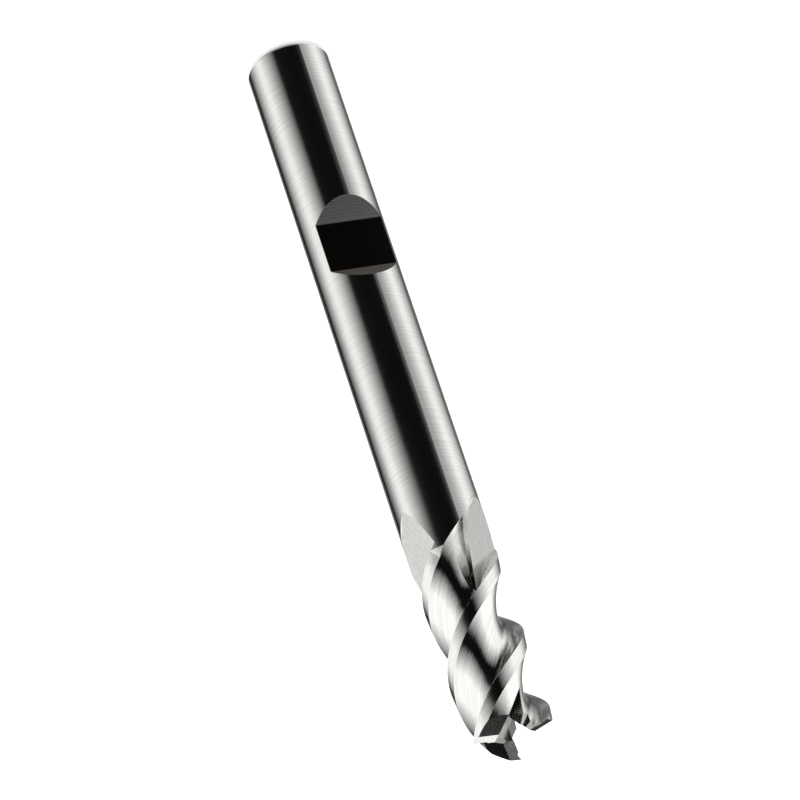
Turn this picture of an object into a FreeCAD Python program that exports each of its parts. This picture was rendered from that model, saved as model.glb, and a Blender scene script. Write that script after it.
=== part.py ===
import FreeCAD, Part
import math
import os

from FreeCAD import Vector

# Square end mill with three right-hand flutes and a straight shank with one clamping flat.
# The origin is the centre of the shank's end face. +Z runs along the axis to the cutting end,
# and the clamping flat turns 19 degrees away from -Y. Millimetres and degrees.

# Ground bar
OVERALL_LENGTH = 57.0
SHANK_DIAMETER = 6.0
SHANK_CHAMFER = 0.45
SEAM_DIRECTION = 5.0

# Clamping flat
ACROSS_FLAT = 4.78
FLAT_CENTRE = 17.3
FLAT_LENGTH = 4.0
FLAT_END_ANGLE = 50.0
FLAT_DIRECTION = -109.0

# Helical teeth. Lengths are measured back from the tip.
TOOTH_COUNT = 3
HELIX_ANGLE = 45.8
TIP_CORNER_DIRECTION = 91.7
FLUTE_LENGTH = 17.87
FULL_DEPTH_LENGTH = 8.5
RELIEVED_LENGTH = 14.1

# Section of one flute, square to the axis, measured from the cutting edge
CORE_DIAMETER = 3.2
RAKE_ANGLE = 8.0
ROOT_RADIUS = 0.8
FLUTE_OPENING = 101.0

# End of a flute: a flat that slopes out of the bar, and a wall beside the flat.
# Directions are measured from the cutting edge's direction where the flute starts.
EXIT_FLAT_TILT = 10.6
EXIT_FLAT_FACING = 102.3
EXIT_WALL_TILT = -5.4
EXIT_WALL_FACING = 239.4
EXIT_WALL_DIRECTION = 142.4
EXIT_WALL_DEPTH = 0.426
EXIT_WALL_LENGTH = 13.16
EXIT_MARGIN = 0.2

# Land behind the cutting edge
LAND_RELIEF_ANGLE = 6.1
LAND_RELIEF_LEAD = 1.0
LAND_RELIEF_START = 5.0
LAND_CUT_ANGLE = 36.0
LAND_EXIT_ANGLE = 10.6

# Teeth on the end face
END_DISH_ANGLE = 2.0
END_STRIP_WIDTH = 0.75
END_RELIEF_ANGLE = 9.0
END_HEEL_ANGLE = 32.0
GASH_SLOPE_ANGLE = 42.0
GASH_RISE_ANGLE = 8.0
GASH_RAKE_ANGLE = 8.0
LONG_TOOTH_PAST_CENTRE = 0.22
SHORT_TOOTH_START = 1.45
SHORT_TOOTH_END_ANGLE = 55.0
SHORT_GASH_START = 0.2
SECTOR_OVERLAP = 0.12
SECTOR_LEAD = 12.0
SECTOR_GAP = 4.0

# Room that a cutting solid keeps beyond the bar
CLEAR = 1.0

RADIUS = SHANK_DIAMETER / 2
CORE_RADIUS = CORE_DIAMETER / 2
OUTSIDE = RADIUS + CLEAR
TOOTH_ANGLE = 360.0 / TOOTH_COUNT
LEAD = math.pi * SHANK_DIAMETER / math.tan(math.radians(HELIX_ANGLE))
LAND_FALL = math.tan(math.radians(LAND_RELIEF_ANGLE)) * math.radians(1.0)
AXIS = Vector(0, 0, 1)
CENTRE = Vector(0, 0, 0)


def at_angle(radius, angle, height=0.0):
    turn = math.radians(angle)
    return Vector(radius * math.cos(turn), radius * math.sin(turn), height)


def turned(shape, angle):
    copy = shape.copy()
    copy.rotate(CENTRE, AXIS, angle)
    return copy


def beyond(point, normal):
    """Block that starts at a plane and reaches away on the side its normal points to."""
    size = 2 * OVERALL_LENGTH
    block = Part.makeBox(2 * size, 2 * size, size, Vector(-size, -size, 0))
    block.Placement = FreeCAD.Placement(point, FreeCAD.Rotation(AXIS, normal))
    return block


def bar():
    """Ground bar with the chamfer on its shank end. Its seam runs clear of the flutes' ends."""
    profile = Part.makePolygon([
        Vector(0, 0, 0),
        Vector(RADIUS - SHANK_CHAMFER, 0, 0),
        Vector(RADIUS, 0, SHANK_CHAMFER),
        Vector(RADIUS, 0, OVERALL_LENGTH),
        Vector(0, 0, OVERALL_LENGTH),
        Vector(0, 0, 0),
    ])
    return turned(Part.Face(profile).revolve(CENTRE, AXIS, 360), SEAM_DIRECTION)


def clamping_flat():
    """Notch with a level floor and two sloping ends."""
    floor = ACROSS_FLAT - RADIUS
    spread = (OUTSIDE - floor) * math.tan(math.radians(FLAT_END_ANGLE))
    half = FLAT_LENGTH / 2
    outline = Part.makePolygon([
        Vector(floor, -OUTSIDE, FLAT_CENTRE - half),
        Vector(floor, -OUTSIDE, FLAT_CENTRE + half),
        Vector(OUTSIDE, -OUTSIDE, FLAT_CENTRE + half + spread),
        Vector(OUTSIDE, -OUTSIDE, FLAT_CENTRE - half - spread),
        Vector(floor, -OUTSIDE, FLAT_CENTRE - half),
    ])
    notch = Part.Face(outline).extrude(Vector(0, 2 * OUTSIDE, 0))
    return turned(notch, FLAT_DIRECTION)


def edge_direction(height):
    """Direction of the first tooth's cutting edge at a height."""
    return TIP_CORNER_DIRECTION - 360.0 * (OVERALL_LENGTH - height) / LEAD


def helical(section, bottom):
    """Solid that a section sweeps from a height to past the tip, climbing with the first tooth."""
    top = OVERALL_LENGTH + CLEAR
    line = Part.Wire([Part.LineSegment(Vector(0, 0, bottom), Vector(0, 0, top)).toShape()])
    helix = Part.makeHelix(LEAD, top - bottom, RADIUS)
    helix.translate(Vector(0, 0, bottom))
    start = section.copy()
    start.translate(Vector(0, 0, bottom))
    sweep = Part.BRepOffsetAPI.MakePipeShell(line)
    sweep.setAuxiliarySpine(helix, True, 0)
    sweep.add(start, False, False)
    sweep.build()
    sweep.makeSolid()
    return turned(sweep.shape(), edge_direction(bottom))


def flute_section():
    """Rake face on +X, root and convex back, closed outside the bar."""
    rake = math.radians(RAKE_ANGLE)
    edge = Vector(RADIUS, 0, 0)
    inward = Vector(-math.cos(rake), -math.sin(rake), 0)
    into_flute = Vector(-math.sin(rake), math.cos(rake), 0)
    beside = edge + into_flute * ROOT_RADIUS
    forward = beside.dot(inward)
    gap = (CORE_RADIUS + ROOT_RADIUS) ** 2 - beside.dot(beside)
    root_centre = beside + inward * (-forward - math.sqrt(forward ** 2 + gap))
    rake_foot = root_centre - into_flute * ROOT_RADIUS
    outward = Vector(root_centre).normalize()
    root_end = outward * CORE_RADIUS
    root_middle = root_centre - (into_flute + outward).normalize() * ROOT_RADIUS

    back_end = at_angle(RADIUS, FLUTE_OPENING)
    chord = back_end - root_end
    bend = AXIS.cross(outward).getAngle(chord)
    back_radius = chord.Length / (2 * math.sin(bend))
    back_centre = root_end - outward * back_radius

    past_bar = FreeCAD.Rotation(AXIS, math.degrees(CLEAR / back_radius))
    back_outside = back_centre + past_bar.multVec(back_end - back_centre)
    edge_outside = edge - inward * CLEAR
    middle_outside = (edge_outside + back_outside).normalize() * (OUTSIDE + CLEAR)
    return Part.Wire([
        Part.LineSegment(edge_outside, rake_foot).toShape(),
        Part.Arc(rake_foot, root_middle, root_end).toShape(),
        Part.Arc(root_end, back_end, back_outside).toShape(),
        Part.Arc(back_outside, middle_outside, edge_outside).toShape(),
    ])


def exit_wedge():
    """Metal left under the exit flat and beside the exit wall, where the wheel leaves the bar."""
    start = OVERALL_LENGTH - FLUTE_LENGTH
    edge = edge_direction(start)
    flat_tilt = math.radians(EXIT_FLAT_TILT)
    into_flat = at_angle(-math.cos(flat_tilt), edge + EXIT_FLAT_FACING, -math.sin(flat_tilt))
    under_flat = beyond(at_angle(RADIUS, edge + EXIT_FLAT_FACING, start), into_flat)
    wall_tilt = math.radians(EXIT_WALL_TILT)
    into_wall = at_angle(-math.cos(wall_tilt), edge + EXIT_WALL_FACING, -math.sin(wall_tilt))
    corner = at_angle(RADIUS - EXIT_WALL_DEPTH, edge + EXIT_WALL_DIRECTION,
                      OVERALL_LENGTH - EXIT_WALL_LENGTH)
    below = beyond(Vector(0, 0, OVERALL_LENGTH - FULL_DEPTH_LENGTH), -AXIS)
    return under_flat.common(beyond(corner, into_wall)).common(below)


def flute():
    """Helical flute that runs out at the exit flat and the exit wall."""
    bottom = OVERALL_LENGTH - FLUTE_LENGTH - EXIT_MARGIN
    return helical(flute_section(), bottom).cut(exit_wedge())


def land_exit():
    """Room outside the cone on which the relieved land runs out into the bar."""
    slope = math.tan(math.radians(LAND_EXIT_ANGLE))
    start = OVERALL_LENGTH - RELIEVED_LENGTH
    top = OVERALL_LENGTH + CLEAR
    profile = Part.makePolygon([
        Vector(OUTSIDE + CLEAR, 0, start - CLEAR / slope),
        Vector(RADIUS + CLEAR, 0, start - CLEAR / slope),
        Vector(CORE_RADIUS, 0, start + (RADIUS - CORE_RADIUS) / slope),
        Vector(CORE_RADIUS, 0, top),
        Vector(OUTSIDE + CLEAR, 0, top),
        Vector(OUTSIDE + CLEAR, 0, start - CLEAR / slope),
    ])
    return Part.Face(profile).revolve(CENTRE, AXIS, 360)


def land_relief():
    """Shell behind the helical edge, so that the land falls away towards its heel."""
    def falling(angle):
        return at_angle(RADIUS * (1 - LAND_FALL * (LAND_RELIEF_LEAD - angle)), angle)

    front = LAND_RELIEF_START
    back = -LAND_CUT_ANGLE
    middle = (front + back) / 2
    outline = Part.Wire([
        Part.Arc(falling(front), falling(middle), falling(back)).toShape(),
        Part.LineSegment(falling(back), at_angle(OUTSIDE, back)).toShape(),
        Part.Arc(at_angle(OUTSIDE, back), at_angle(OUTSIDE, middle), at_angle(OUTSIDE, front)).toShape(),
        Part.LineSegment(at_angle(OUTSIDE, front), falling(front)).toShape(),
    ])
    return helical(outline, OVERALL_LENGTH - RELIEVED_LENGTH - CLEAR).common(land_exit())


def tooth_sector():
    """Room over one end tooth, from ahead of its edge back to the tooth behind it."""
    front = SECTOR_LEAD
    back = front - TOOTH_ANGLE + SECTOR_GAP
    apex = at_angle(-SECTOR_OVERLAP, (front + back) / 2)
    outline = Part.makePolygon([
        apex,
        apex + at_angle(2 * OUTSIDE, back),
        apex + at_angle(4 * OUTSIDE, (front + back) / 2),
        apex + at_angle(2 * OUTSIDE, front),
        apex,
    ])
    sector = Part.Face(outline).extrude(AXIS * (2 * RADIUS + CLEAR))
    sector.translate(AXIS * (OVERALL_LENGTH - 2 * RADIUS))
    return sector


def end_relief():
    """Narrow relief strip behind the end edge and the steeper heel behind the strip."""
    dish = math.radians(END_DISH_ANGLE)
    corner = Vector(RADIUS, 0, OVERALL_LENGTH)
    edge_line = Vector(math.cos(dish), 0, math.sin(dish))
    strip_fall = math.radians(END_RELIEF_ANGLE)
    heel_fall = math.radians(END_HEEL_ANGLE)
    down_strip = Vector(0, -math.cos(strip_fall), -math.sin(strip_fall))
    down_heel = Vector(0, -math.cos(heel_fall), -math.sin(heel_fall))
    strip_end = corner + down_strip * END_STRIP_WIDTH
    strip = beyond(corner, down_strip.cross(edge_line))
    heel = beyond(strip_end, down_heel.cross(edge_line))
    sector = tooth_sector()
    return [sector.common(strip), sector.common(heel)]


def short_tooth_end():
    """Slope that ends a short tooth before it reaches the centre."""
    slope = math.radians(SHORT_TOOTH_END_ANGLE)
    start = Vector(SHORT_TOOTH_START, 0, OVERALL_LENGTH)
    room = beyond(start, Vector(-math.sin(slope), 0, math.cos(slope)))
    return room.common(tooth_sector())


def gash(start):
    """Groove ahead of an end edge, sloping down from a distance off the centre to the flute."""
    rake = math.radians(GASH_RAKE_ANGLE)
    slope = math.tan(math.radians(GASH_SLOPE_ANGLE))
    rise = math.tan(math.radians(GASH_RISE_ANGLE))
    ahead = beyond(Vector(0, 0, OVERALL_LENGTH), Vector(0, math.cos(rake), -math.sin(rake)))
    above = beyond(Vector(start, 0, OVERALL_LENGTH), Vector(slope, -rise, 1).normalize())
    return ahead.common(above)


def fluted_bar():
    """Bar with all its flutes, as what the bars with one flute each have in common."""
    one_flute = bar().cut(flute()).cut(land_relief())
    shape = one_flute
    for tooth in range(1, TOOTH_COUNT):
        shape = shape.common(turned(one_flute, TOOTH_ANGLE * tooth))
    return shape


def end_cuts(tooth):
    """Cuts on the end face for one tooth. The first tooth is the long one."""
    if tooth == 0:
        cuts = [gash(-LONG_TOOTH_PAST_CENTRE)] + end_relief()
    else:
        cuts = [gash(SHORT_GASH_START), short_tooth_end()] + end_relief()
    return [turned(cut, TIP_CORNER_DIRECTION + TOOTH_ANGLE * tooth) for cut in cuts]


def build():
    shape = fluted_bar().cut(clamping_flat())
    for tooth in range(TOOTH_COUNT):
        for cut in end_cuts(tooth):
            shape = shape.cut(cut)
    return shape.Solids[0]


if __name__ == "__main__":
    os.makedirs("parts", exist_ok=True)
    end_mill = build()
    end_mill.exportStep("parts/end_mill.step")
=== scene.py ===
import math

import bpy
from bpy.props import FloatProperty, FloatVectorProperty, PointerProperty, StringProperty
from mathutils import Matrix, Vector

# Square end mill, standing on its shank end, with the cutting end up.
# Everything is in metres, in the frame of the CAD part: the axis is Z.

bl_info = {
    "name": "Ground End Mill",
    "version": (1, 0, 0),
    "blender": (4, 5, 0),
    "location": "3D View > Sidebar > End Mill",
    "description": "Finishes a fine-ground end mill and sets a plain studio round it",
    "category": "Object",
}

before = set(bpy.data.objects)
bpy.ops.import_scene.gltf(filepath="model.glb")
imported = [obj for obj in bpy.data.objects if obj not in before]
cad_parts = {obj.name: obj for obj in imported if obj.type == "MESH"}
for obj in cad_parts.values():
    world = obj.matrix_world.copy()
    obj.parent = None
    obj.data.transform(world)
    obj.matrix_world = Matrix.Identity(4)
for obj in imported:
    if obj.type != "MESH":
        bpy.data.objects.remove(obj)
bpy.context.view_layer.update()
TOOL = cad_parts["end_mill"]
MM = 0.001

# The tool's own figures, so that each finish lies where it belongs
CLAMPING_FLAT_DIRECTION = -109.0
CLAMPING_FLAT_LEVEL = 1.78 * MM
FLUTE_LEAD = 18.33 * MM
EXIT_FLAT_TILT = 10.6
EXIT_FLAT_HEIGHT = 39.13 * MM
EXIT_FLAT_DIRECTIONS = (-157.0, -37.0, 83.0)
SHANK_RADIUS = 3.0 * MM

# Heights between which each finish is looked for. They leave room to spare round the faces.
END_TEETH_START = 55.0 * MM
FLUTES_START = 39.0 * MM
EXIT_FLATS_END = 47.5 * MM
CLAMPING_FLAT_RANGE = (10.0 * MM, 25.0 * MM)

# How far below the shank's surface a ground face counts as cut, and how softly the finishes meet
CUT_DEPTH = 0.025 * MM
FINISH_EDGE = 0.1 * MM

# Roughness of each finish
SHANK_ROUGHNESS = 0.13
FLUTE_ROUGHNESS = 0.11
NOTCH_ROUGHNESS = 0.1
EXIT_FLAT_ROUGHNESS = 0.2
END_ROUGHNESS = 0.15

# The soft boxes: directions round the tool, width of the soft edge and how far they bow, in degrees
LEFT_BOX = 80.0
RIGHT_BOX = -95.0
BOX_SOFT_EDGE = 50.0
BOX_BOW = 30.0
SMALL_BOX_DIRECTION = 172.0
SMALL_BOX_RISE = 44.0

# Brightness of the paper, of the black cards and of the boxes' lower part, beside 1 for a soft box
FLOOR_LIGHT = 0.12
CARD_LIGHT = 0.003
BACK_PAPER_LIGHT = 0.5
LOW_BOX_LIGHT = 0.85


def linear(hex_colour):
    """sRGB hex to the linear colour that a shader takes."""
    text = hex_colour.lstrip("#")
    parts = [int(text[i:i + 2], 16) / 255 for i in (0, 2, 4)]
    out = [c / 12.92 if c <= 0.04045 else ((c + 0.055) / 1.055) ** 2.4 for c in parts]
    return (*out, 1.0)


def add_node(tree, kind, links=None, inputs=None, **settings):
    """A node with its settings, its fixed inputs and the sockets that feed it."""
    node = tree.nodes.new(kind)
    for name, value in settings.items():
        setattr(node, name, value)
    for name, value in (inputs or {}).items():
        node.inputs[name].default_value = value
    for name, socket in (links or {}).items():
        tree.links.new(socket, node.inputs[name])
    return node


def maths(tree, operation, a, b=None, clamp=False):
    """One sum on sockets or numbers."""
    node = add_node(tree, "ShaderNodeMath", operation=operation, use_clamp=clamp)
    for place, value in ((0, a), (1, b)):
        if value is None:
            continue
        if isinstance(value, (int, float)):
            node.inputs[place].default_value = value
        else:
            tree.links.new(value, node.inputs[place])
    return node.outputs[0]


def length_of(tree, a, b):
    """Length of a flat vector."""
    squares = maths(tree, "ADD", maths(tree, "MULTIPLY", a, a), maths(tree, "MULTIPLY", b, b))
    return maths(tree, "SQRT", squares)


def between(tree, value, low, high, soft):
    """1 where a value lies between two limits, with soft edges."""
    up = maths(tree, "DIVIDE", maths(tree, "SUBTRACT", value, low), soft, clamp=True)
    down = maths(tree, "DIVIDE", maths(tree, "SUBTRACT", high, value), soft, clamp=True)
    return maths(tree, "MULTIPLY", up, down)


def blend(tree, first, second, share):
    """First where the share is 0 and second where it is 1."""
    rest = maths(tree, "MULTIPLY", first, maths(tree, "SUBTRACT", 1.0, share))
    return maths(tree, "ADD", rest, maths(tree, "MULTIPLY", second, share))


def fade(tree, value, start, end):
    """0 at the start, 1 at the end and even in between."""
    return maths(tree, "DIVIDE", maths(tree, "SUBTRACT", value, start), end - start, clamp=True)


def lines(tree, vector, scale, contrast=1.0, detail=3.0):
    """Noise stretched by a scale for each direction, in cycles per metre."""
    place = add_node(tree, "ShaderNodeMapping", links={"Vector": vector}, inputs={"Scale": scale})
    noise = add_node(
        tree, "ShaderNodeTexNoise", links={"Vector": place.outputs[0]},
        inputs={"Scale": 1.0, "Detail": detail, "Roughness": 0.6},
    )
    centred = maths(tree, "SUBTRACT", noise.outputs["Fac"], 0.5)
    return maths(tree, "ADD", maths(tree, "MULTIPLY", centred, contrast), 0.5, clamp=True)


class GroundFinish(bpy.types.PropertyGroup):
    metal: StringProperty(
        name="Metal", description="Colour of the bare ground carbide, as sRGB hex", default="#e2e2df",
    )
    # Partly painted shade: the flat's floor gets a darker, warmer tone than the metal. Part of it is the
    # face's own duller grinding, part stands in for the dark reflection it shows
    flat_floor_tone_and_shade: StringProperty(
        name="Flat's floor", description="Duller tone of the clamping flat's level floor, as sRGB hex",
        default="#a79f94",
    )
    shank_grit: FloatProperty(
        name="Shank line spacing", description="Spacing of the round grinding lines on the shank",
        default=0.08 * MM, unit="LENGTH", min=0.02 * MM, max=1.0 * MM, precision=6,
    )
    flute_grit: FloatProperty(
        name="Flute line spacing", description="Spacing of the grinding lines that run along the flutes",
        default=0.13 * MM, unit="LENGTH", min=0.02 * MM, max=1.0 * MM, precision=6,
    )
    flat_grit: FloatProperty(
        name="Exit flat line spacing",
        description="Spacing of the straight lines on the flats where the flutes end",
        default=0.1 * MM, unit="LENGTH", min=0.02 * MM, max=1.0 * MM, precision=6,
    )


class Studio(bpy.types.PropertyGroup):
    floor: StringProperty(name="Floor", description="Colour of the floor, as sRGB hex", default="#f4f4f2")
    floor_size: FloatProperty(
        name="Floor size", description="Side of the square floor", default=3.0, unit="LENGTH", min=0.5,
    )
    tent_radius: FloatProperty(
        name="Tent radius", description="Radius of the ring of soft boxes and dark cards round the tool",
        default=1.0, unit="LENGTH", min=0.5,
    )
    tent_height: FloatProperty(
        name="Tent height", description="Height of the tent's middle above the floor",
        default=45 * MM, unit="LENGTH",
    )
    box_strength: FloatProperty(
        name="Soft boxes", description="Strength of the soft boxes at their brightest", default=1.3, min=0.0,
    )
    lens: FloatProperty(
        name="Lens", description="Focal length of the camera in millimetres", default=225.0, min=20.0,
    )
    camera_place: FloatVectorProperty(
        name="Camera", description="Place of the camera", subtype="TRANSLATION", unit="LENGTH", size=3,
        default=(-0.00003, -0.29757, 0.20353),
    )


def ground_carbide(settings):
    """Sintered tungsten carbide, ground with a fine diamond wheel and left uncoated.
    It gives a neutral grey mirror with fine lines in the wheel's direction: round the shank,
    along the flutes, nearly straight on the flats where the flutes end, across the end teeth.
    The lines round the shank run on, more faintly, in the clamping flat."""
    material = bpy.data.materials.new("Fine-ground tungsten carbide")
    material.use_nodes = True
    tree = material.node_tree
    tree.nodes.clear()
    place = add_node(tree, "ShaderNodeTexCoord").outputs["Object"]
    split = add_node(tree, "ShaderNodeSeparateXYZ", links={"Vector": place})
    x, y, z = split.outputs
    radius = length_of(tree, x, y)

    # Where each finish is
    end_zone = fade(tree, z, END_TEETH_START, END_TEETH_START + 0.3 * MM)
    inside = fade(tree, radius, SHANK_RADIUS - CUT_DEPTH, SHANK_RADIUS - CUT_DEPTH - 0.01 * MM)
    fluted = maths(tree, "MULTIPLY", inside, fade(tree, z, FLUTES_START, FLUTES_START + FINISH_EDGE))
    notch = maths(tree, "MULTIPLY", inside, between(tree, z, *CLAMPING_FLAT_RANGE, FINISH_EDGE))
    turn = math.radians(CLAMPING_FLAT_DIRECTION)
    dot = add_node(
        tree, "ShaderNodeVectorMath", operation="DOT_PRODUCT", links={0: place},
        inputs={1: (math.cos(turn), math.sin(turn), 0.0)},
    )
    outward = dot.outputs["Value"]
    level_floor = fade(tree, outward, CLAMPING_FLAT_LEVEL + 0.03 * MM, CLAMPING_FLAT_LEVEL + 0.01 * MM)
    level_floor = maths(tree, "MULTIPLY", level_floor, notch)
    tilt = math.radians(EXIT_FLAT_TILT)
    flat = None
    for direction in EXIT_FLAT_DIRECTIONS:
        turn = math.radians(direction)
        normal = (math.cos(tilt) * math.cos(turn), math.cos(tilt) * math.sin(turn), math.sin(tilt))
        level = SHANK_RADIUS * math.cos(tilt) + EXIT_FLAT_HEIGHT * math.sin(tilt)
        dot = add_node(
            tree, "ShaderNodeVectorMath", operation="DOT_PRODUCT", links={0: place}, inputs={1: normal},
        )
        off = maths(tree, "ABSOLUTE", maths(tree, "SUBTRACT", dot.outputs["Value"], level))
        near = maths(tree, "SUBTRACT", 1.0, maths(tree, "DIVIDE", off, 0.02 * MM, clamp=True), clamp=True)
        near = maths(tree, "MULTIPLY", near, between(tree, z, FLUTES_START, EXIT_FLATS_END, FINISH_EDGE))
        flat = near if flat is None else maths(tree, "MAXIMUM", flat, near)

    # Grinding lines
    round_lines = lines(tree, place, (60, 60, 1 / settings.shank_grit), contrast=1.8)
    untwist = maths(tree, "MULTIPLY", z, -2 * math.pi / FLUTE_LEAD)
    turned = add_node(
        tree, "ShaderNodeVectorRotate", rotation_type="Z_AXIS", links={"Vector": place, "Angle": untwist},
    ).outputs[0]
    fine = 1 / settings.flute_grit
    flute_lines = lines(tree, turned, (fine, fine, 180), contrast=2.0)
    fine = 1 / settings.flat_grit
    flat_lines = lines(tree, place, (fine, fine, 220), contrast=1.6)
    end_lines = lines(tree, place, (5200, 1400, 1400), contrast=1.5)
    patches = lines(tree, place, (260, 260, 90), detail=2.0)

    height = blend(tree, round_lines, flute_lines, fluted)
    height = blend(tree, height, flat_lines, flat)
    faint_lines = maths(tree, "ADD", maths(tree, "MULTIPLY", round_lines, 0.3), 0.35)
    height = blend(tree, height, faint_lines, notch)
    height = blend(tree, height, end_lines, end_zone)

    # The lines carry a little tone, as their walls shade each other. The exit flats are painted a quarter
    # darker, as painted shade.
    tone = maths(tree, "ADD", maths(tree, "MULTIPLY", height, 0.3), 0.8)
    tone = maths(tree, "ADD", tone, maths(tree, "MULTIPLY", patches, 0.06))
    # Painted shade: the exit flats' colour is made a quarter darker
    tone = maths(tree, "SUBTRACT", tone, maths(tree, "MULTIPLY", flat, 0.25))
    metal = add_node(tree, "ShaderNodeRGB")
    metal.outputs[0].default_value = linear(settings.metal)
    ground = add_node(
        tree, "ShaderNodeVectorMath", operation="SCALE", links={0: metal.outputs[0], "Scale": tone},
    )
    # Partly painted shade: the clamping flat's level floor takes the darker, warmer tone. Part is a duller
    # ground face, part is the dark reflection painted in
    dull_and_shaded = add_node(tree, "ShaderNodeRGB")
    dull_and_shaded.outputs[0].default_value = linear(settings.flat_floor_tone_and_shade)
    streaked_and_shaded = add_node(
        tree, "ShaderNodeVectorMath", operation="SCALE", links={0: dull_and_shaded.outputs[0], "Scale": tone},
    )
    colour = add_node(
        tree, "ShaderNodeMix", data_type="RGBA",
        links={"Factor": level_floor, 6: ground.outputs[0], 7: streaked_and_shaded.outputs[0]},
    ).outputs[2]

    # The exit flats and the end teeth are duller than the rest
    rough = blend(tree, SHANK_ROUGHNESS, FLUTE_ROUGHNESS, fluted)
    rough = blend(tree, rough, NOTCH_ROUGHNESS, notch)
    rough = blend(tree, rough, EXIT_FLAT_ROUGHNESS, flat)
    rough = blend(tree, rough, END_ROUGHNESS, end_zone)
    rough = maths(tree, "ADD", rough, maths(tree, "MULTIPLY", maths(tree, "SUBTRACT", patches, 0.5), 0.06))

    bump = add_node(
        tree, "ShaderNodeBump", links={"Height": height},
        inputs={"Strength": 0.35, "Distance": 0.008 * MM},
    )
    tangent = add_node(tree, "ShaderNodeTangent", direction_type="RADIAL", axis="Z")
    surface = add_node(
        tree, "ShaderNodeBsdfPrincipled",
        links={
            "Base Color": colour, "Roughness": rough,
            "Normal": bump.outputs[0], "Tangent": tangent.outputs[0],
        },
        inputs={"Metallic": 1.0, "Anisotropic": 0.6, "Anisotropic Rotation": 0.25},
    )
    out = add_node(tree, "ShaderNodeOutputMaterial")
    tree.links.new(surface.outputs[0], out.inputs["Surface"])
    return material


def soft_box(tree, direction, centre, half_width):
    """How bright one soft box is in a direction: 1 across its width, and falling away at its soft edge."""
    turn = maths(tree, "ABSOLUTE", maths(tree, "SUBTRACT", direction, centre))
    beyond = maths(tree, "SUBTRACT", turn, half_width)
    return fade(tree, beyond, BOX_SOFT_EDGE, 0.0)


def seen_background(tree):
    """1 for the rays that see the background: from the camera, off metal or through glass."""
    path = add_node(tree, "ShaderNodeLightPath").outputs
    seen = maths(tree, "MAXIMUM", path["Is Camera Ray"], path["Is Glossy Ray"])
    return maths(tree, "MAXIMUM", seen, path["Is Transmission Ray"])


def white_floor(colour):
    """Matt white paper sweep, lit from behind so that it reads white but keeps a soft shadow."""
    material = bpy.data.materials.new("Matt white paper")
    material.use_nodes = True
    tree = material.node_tree
    tree.nodes.clear()
    place = add_node(tree, "ShaderNodeTexCoord").outputs["Object"]
    fibre = lines(tree, place, (900, 900, 900))
    tone = maths(tree, "ADD", maths(tree, "MULTIPLY", fibre, 0.02), 0.98)
    base = add_node(tree, "ShaderNodeRGB")
    base.outputs[0].default_value = linear(colour)
    paper = add_node(
        tree, "ShaderNodeVectorMath", operation="SCALE", links={0: base.outputs[0], "Scale": tone},
    )
    matt = add_node(
        tree, "ShaderNodeBsdfPrincipled", links={"Base Color": paper.outputs[0]},
        inputs={"Roughness": 0.9, "Specular IOR Level": 0.1},
    )
    glow = add_node(
        tree, "ShaderNodeEmission", inputs={"Color": (1, 1, 1, 1)},
        links={"Strength": maths(tree, "MULTIPLY", seen_background(tree), 0.55)},
    )
    both = add_node(tree, "ShaderNodeAddShader")
    tree.links.new(matt.outputs[0], both.inputs[0])
    tree.links.new(glow.outputs[0], both.inputs[1])
    out = add_node(tree, "ShaderNodeOutputMaterial")
    tree.links.new(both.outputs[0], out.inputs["Surface"])
    return material


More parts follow.
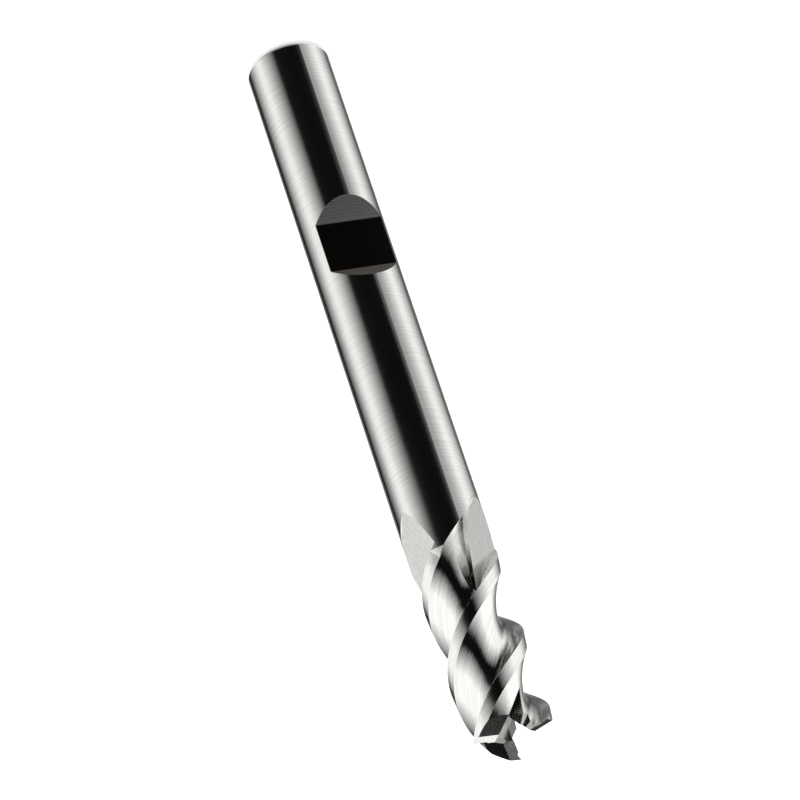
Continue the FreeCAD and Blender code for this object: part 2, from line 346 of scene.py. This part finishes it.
def tent_light(settings):
    """Two soft boxes at the sides, dark cards in front and behind, and a small box high up behind.
    Directions are in degrees: 0 is in front of the tool (-Y), 90 at its +X side, -90 at its -X side."""
    material = bpy.data.materials.new("Soft boxes and dark cards")
    material.use_nodes = True
    tree = material.node_tree
    tree.nodes.clear()
    split = add_node(
        tree, "ShaderNodeSeparateXYZ",
        links={"Vector": add_node(tree, "ShaderNodeTexCoord").outputs["Object"]},
    )
    x, y, z = split.outputs
    degree = 180 / math.pi
    direction = maths(tree, "MULTIPLY", maths(tree, "ARCTAN2", x, maths(tree, "MULTIPLY", y, -1.0)), degree)
    across = length_of(tree, x, y)
    rise = maths(tree, "MULTIPLY", maths(tree, "ARCTAN2", z, across), degree)

    # The boxes bow: half way up they stand further round the tool, clockwise as seen from above
    bow = maths(tree, "MULTIPLY", fade(tree, rise, -15.0, 15.0), fade(tree, rise, 60.0, 30.0))
    bowed = maths(tree, "ADD", direction, maths(tree, "MULTIPLY", bow, BOX_BOW))
    upper = fade(tree, rise, -30.0, -10.0)
    half_width = blend(tree, 5.0, 25.0, upper)
    left = soft_box(tree, bowed, LEFT_BOX, half_width)
    right = soft_box(tree, bowed, RIGHT_BOX, half_width)
    level = maths(tree, "MAXIMUM", left, right)
    level = maths(tree, "MULTIPLY", level, blend(tree, LOW_BOX_LIGHT, 1.0, upper))

    # Behind the tool: white paper low down, a dark card higher up. Above all, a dark ceiling
    turned_away = maths(tree, "ABSOLUTE", direction)
    paper = maths(tree, "MULTIPLY", fade(tree, turned_away, 145.0, 180.0), BACK_PAPER_LIGHT)
    level = maths(tree, "MAXIMUM", level, paper)
    card = maths(tree, "MULTIPLY", fade(tree, turned_away, 130.0, 145.0), fade(tree, rise, -5.0, 10.0))
    level = maths(tree, "MULTIPLY", level, maths(tree, "SUBTRACT", 1.0, card))
    level = maths(tree, "MULTIPLY", level, fade(tree, rise, 60.0, 45.0))

    # Below, the boxes are half as bright and the paper floor gives a dim light of its own.
    # Even the black cards send a little light back.
    below = fade(tree, rise, -45.0, -60.0)
    level = maths(tree, "MULTIPLY", level, blend(tree, 1.0, 0.5, below))
    level = maths(tree, "MAXIMUM", level, maths(tree, "MULTIPLY", below, FLOOR_LIGHT))
    level = maths(tree, "ADD", level, CARD_LIGHT)

    # Small soft box high up behind the tool, as two round patches that meet
    aside = maths(tree, "SUBTRACT", turned_away, SMALL_BOX_DIRECTION)
    above = maths(tree, "SUBTRACT", rise, SMALL_BOX_RISE)
    away = length_of(tree, aside, above)
    level = maths(tree, "MAXIMUM", level, fade(tree, away, 15.0, 6.0))

    glow = add_node(
        tree, "ShaderNodeEmission", inputs={"Color": (1, 1, 1, 1)},
        links={"Strength": maths(tree, "MULTIPLY", level, settings.box_strength)},
    )
    out = add_node(tree, "ShaderNodeOutputMaterial")
    tree.links.new(glow.outputs[0], out.inputs["Surface"])
    return material


def keep_for_gloss(obj):
    """The object shows only in what the metal reflects."""
    obj.visible_camera = False
    obj.visible_diffuse = False
    obj.visible_transmission = False
    obj.visible_volume_scatter = False
    obj.visible_shadow = False


class ENDMILL_OT_finish(bpy.types.Operator):
    """Give the end mill its ground carbide finish"""

    bl_idname = "endmill.finish"
    bl_label = "Finish the End Mill"

    def execute(self, context):
        bpy.ops.object.select_all(action="DESELECT")
        TOOL.data.shade_smooth()
        material = ground_carbide(context.scene.ground_finish)
        for slot in TOOL.material_slots:
            slot.material = material
        return {"FINISHED"}


class ENDMILL_OT_stage(bpy.types.Operator):
    """Lay the floor and set the lamp, the soft boxes, the world and the camera"""

    bl_idname = "endmill.stage"
    bl_label = "Set the Studio"

    def execute(self, context):
        settings = context.scene.studio
        bpy.ops.object.select_all(action="DESELECT")
        bpy.ops.mesh.primitive_plane_add(size=settings.floor_size, location=(0, 0, 0))
        floor = context.active_object
        floor.name = "floor"
        floor.data.materials.append(white_floor(settings.floor))
        floor.visible_glossy = False
        floor.visible_shadow = False

        bpy.ops.object.select_all(action="DESELECT")
        bpy.ops.mesh.primitive_uv_sphere_add(
            segments=96, ring_count=48, radius=settings.tent_radius, location=(0, 0, settings.tent_height),
        )
        tent = context.active_object
        tent.name = "tent"
        tent.data.materials.append(tent_light(settings))
        keep_for_gloss(tent)

        bpy.ops.object.light_add(type="AREA", location=(0.1, -0.1, 0.8))
        lamp = context.active_object
        lamp.name = "overhead_lamp"
        lamp.data.shape = "DISK"
        lamp.data.size = 0.7
        lamp.data.energy = 5.0
        lamp.rotation_euler = Vector((-0.1, 0.1, -0.8)).to_track_quat("-Z", "Y").to_euler()
        lamp.visible_glossy = False

        world = bpy.data.worlds.new("Plain white world")
        context.scene.world = world
        world.use_nodes = True
        tree = world.node_tree
        tree.nodes.clear()
        strength = maths(tree, "ADD", maths(tree, "MULTIPLY", seen_background(tree), 0.6), 0.4)
        sky = add_node(
            tree, "ShaderNodeBackground", inputs={"Color": (1, 1, 1, 1)}, links={"Strength": strength},
        )
        out = add_node(tree, "ShaderNodeOutputWorld")
        tree.links.new(sky.outputs[0], out.inputs["Surface"])

        # The photograph looks down 30 degrees on the tool, with the tip at the lower right
        bpy.ops.object.camera_add(location=settings.camera_place)
        camera = context.active_object
        right = Vector((-0.94797, 0.16078, 0.27478))
        up = Vector((-0.31836, -0.47874, -0.81820))
        back = right.cross(up)
        turn = Matrix((right, up, back)).transposed().to_4x4()
        camera.matrix_world = Matrix.Translation(settings.camera_place) @ turn
        camera.data.lens = settings.lens
        camera.data.sensor_width = 36.0
        camera.data.clip_start = 0.01
        camera.data.clip_end = 10.0
        context.scene.camera = camera
        context.scene.view_settings.view_transform = "Standard"
        return {"FINISHED"}


class ENDMILL_PT_panel(bpy.types.Panel):
    """Sizes, colours and steps for the end mill"""

    bl_label = "End Mill"
    bl_idname = "ENDMILL_PT_panel"
    bl_space_type = "VIEW_3D"
    bl_region_type = "UI"
    bl_category = "End Mill"

    def draw(self, context):
        layout = self.layout
        for settings in (context.scene.ground_finish, context.scene.studio):
            box = layout.box()
            for name in settings.__annotations__:
                box.prop(settings, name)
        layout.operator("endmill.finish")
        layout.operator("endmill.stage")


CLASSES = (GroundFinish, Studio, ENDMILL_OT_finish, ENDMILL_OT_stage, ENDMILL_PT_panel)


def register():
    for cls in CLASSES:
        bpy.utils.register_class(cls)
    bpy.types.Scene.ground_finish = PointerProperty(type=GroundFinish)
    bpy.types.Scene.studio = PointerProperty(type=Studio)


def unregister():
    del bpy.types.Scene.studio
    del bpy.types.Scene.ground_finish
    for cls in reversed(CLASSES):
        bpy.utils.unregister_class(cls)


def main():
    register()
    bpy.ops.endmill.finish()
    bpy.ops.endmill.stage()


if __name__ == "__main__":
    main()
